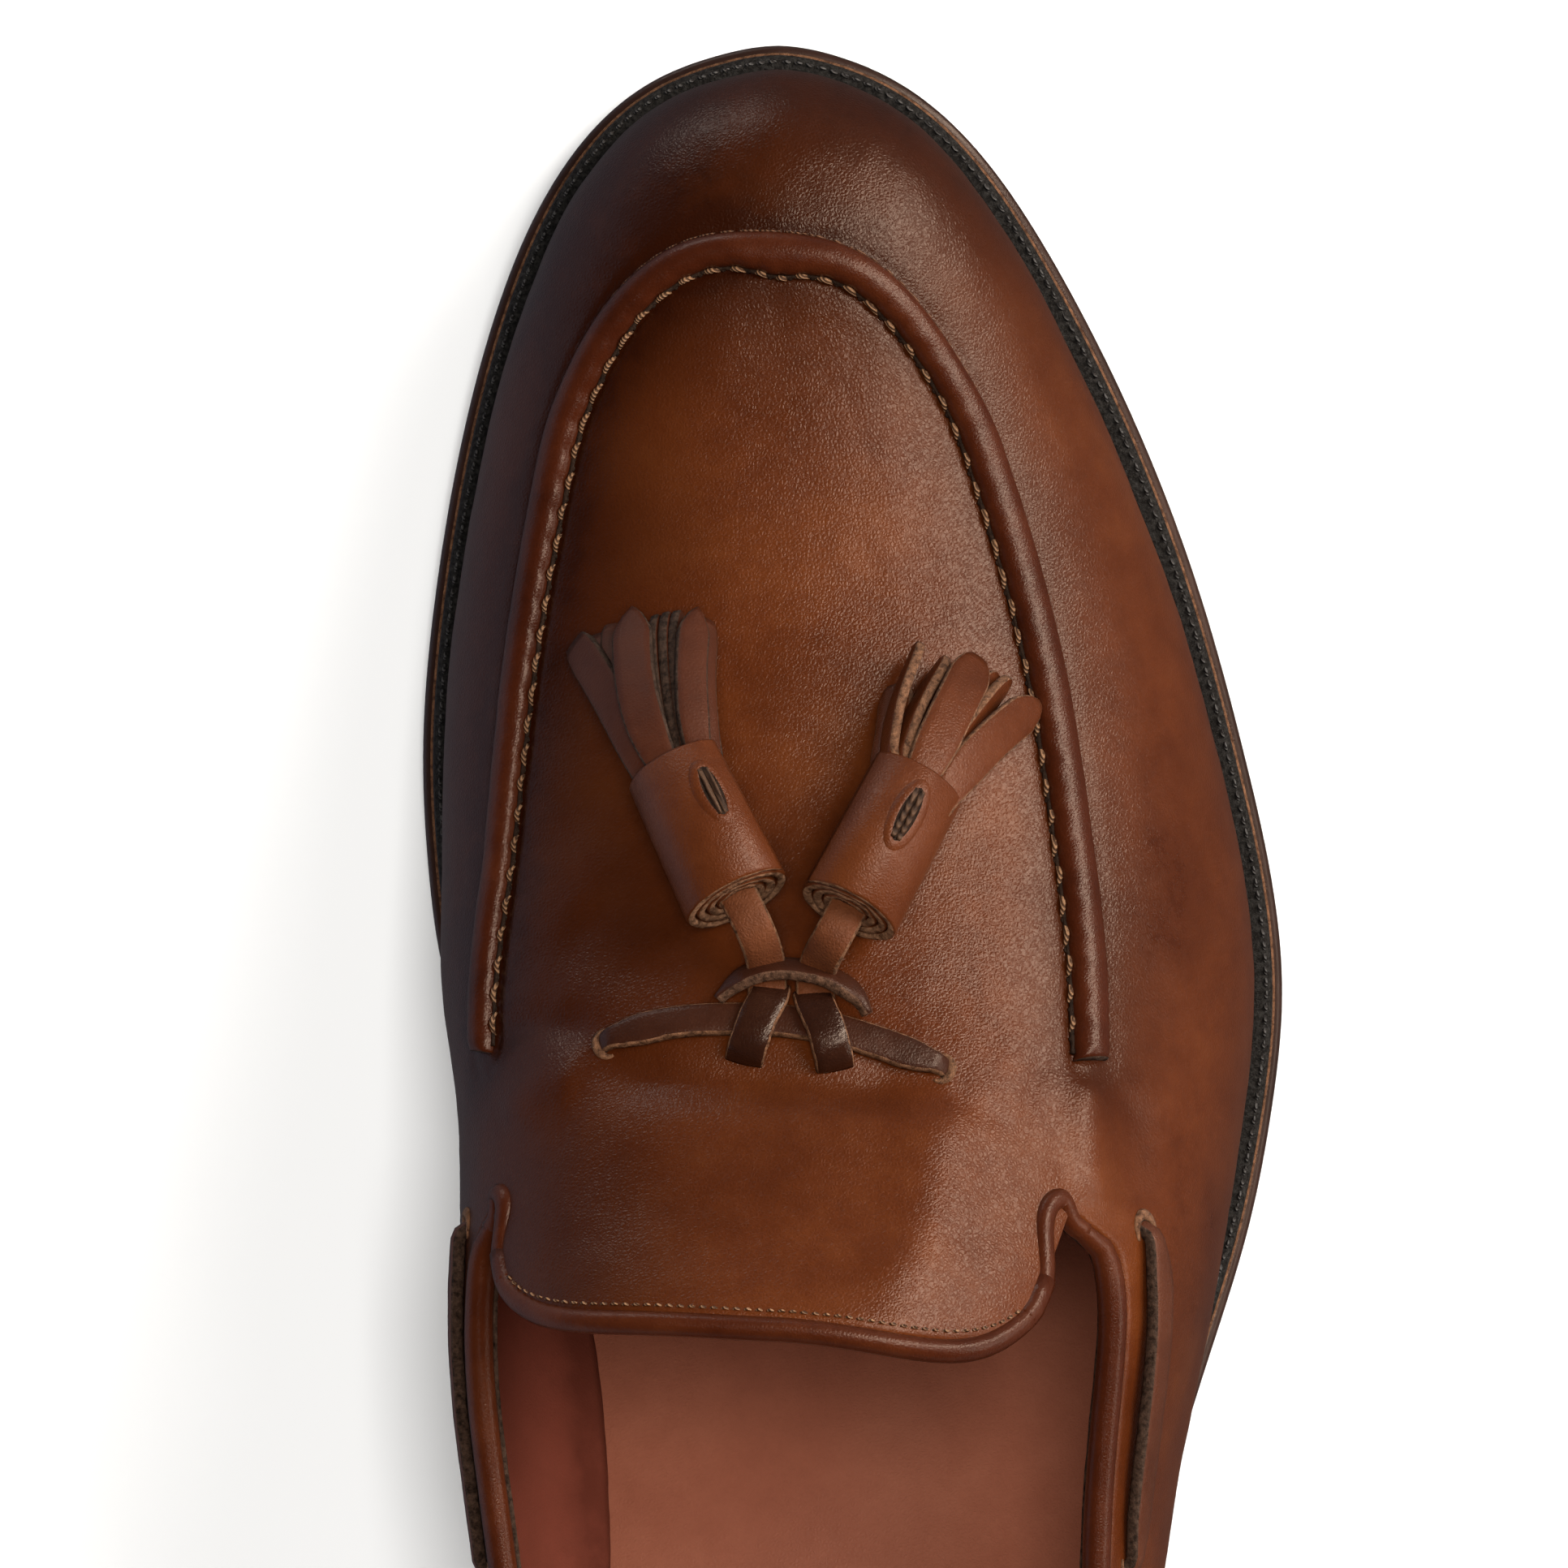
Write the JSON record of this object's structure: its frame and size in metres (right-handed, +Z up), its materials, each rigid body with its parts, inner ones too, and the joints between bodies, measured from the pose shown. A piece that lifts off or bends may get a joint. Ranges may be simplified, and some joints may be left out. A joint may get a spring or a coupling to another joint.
{
  "type": "tassel loafer",
  "caption": "Right-foot men's tassel loafer in burnished brown leather, with a raised moccasin apron roll, bound collar, side laces, knotted front lace and fringed tassels",
  "frame": {"origin": "on the floor, under the middle of the shoe's length and width", "axes": "X across the shoe with +X to the outer side, Y from heel to toe, Z up from the floor"},
  "size_m": [0.1069, 0.295, 0.0908],
  "materials": {
    "burnished_leather": "brown burnished calf with a fine pebble grain and a soft shine",
    "polished_brown": "dark reddish-brown polished leather of the apron roll and bound edges",
    "lace_leather": "dark brown leather lace with raw tan edges",
    "insole_tan": "pinkish-brown matt sock leather",
    "sole_leather": "dark leather sole with a waxed edge",
    "edge_black": "black waxed welt and heel edge",
    "rubber_black": "matt black rubber top lift"
  },
  "bodies": {
    "root": {"outsole": "sole_leather", "welt": "edge_black", "insole": "insole_tan", "heel_stack": "edge_black", "heel_top_lift": "rubber_black", "upper": "burnished_leather", "apron_roll": "polished_brown", "collar_binding": "polished_brown", "tongue_binding": "polished_brown", "lace_bar": "lace_leather", "lace_knot": "lace_leather", "lace_side_medial": "lace_leather", "lace_side_lateral": "lace_leather", "lace_heel": "lace_leather", "tassel_medial": "burnished_leather", "tassel_lateral": "burnished_leather"}
  },
  "joints": []
}
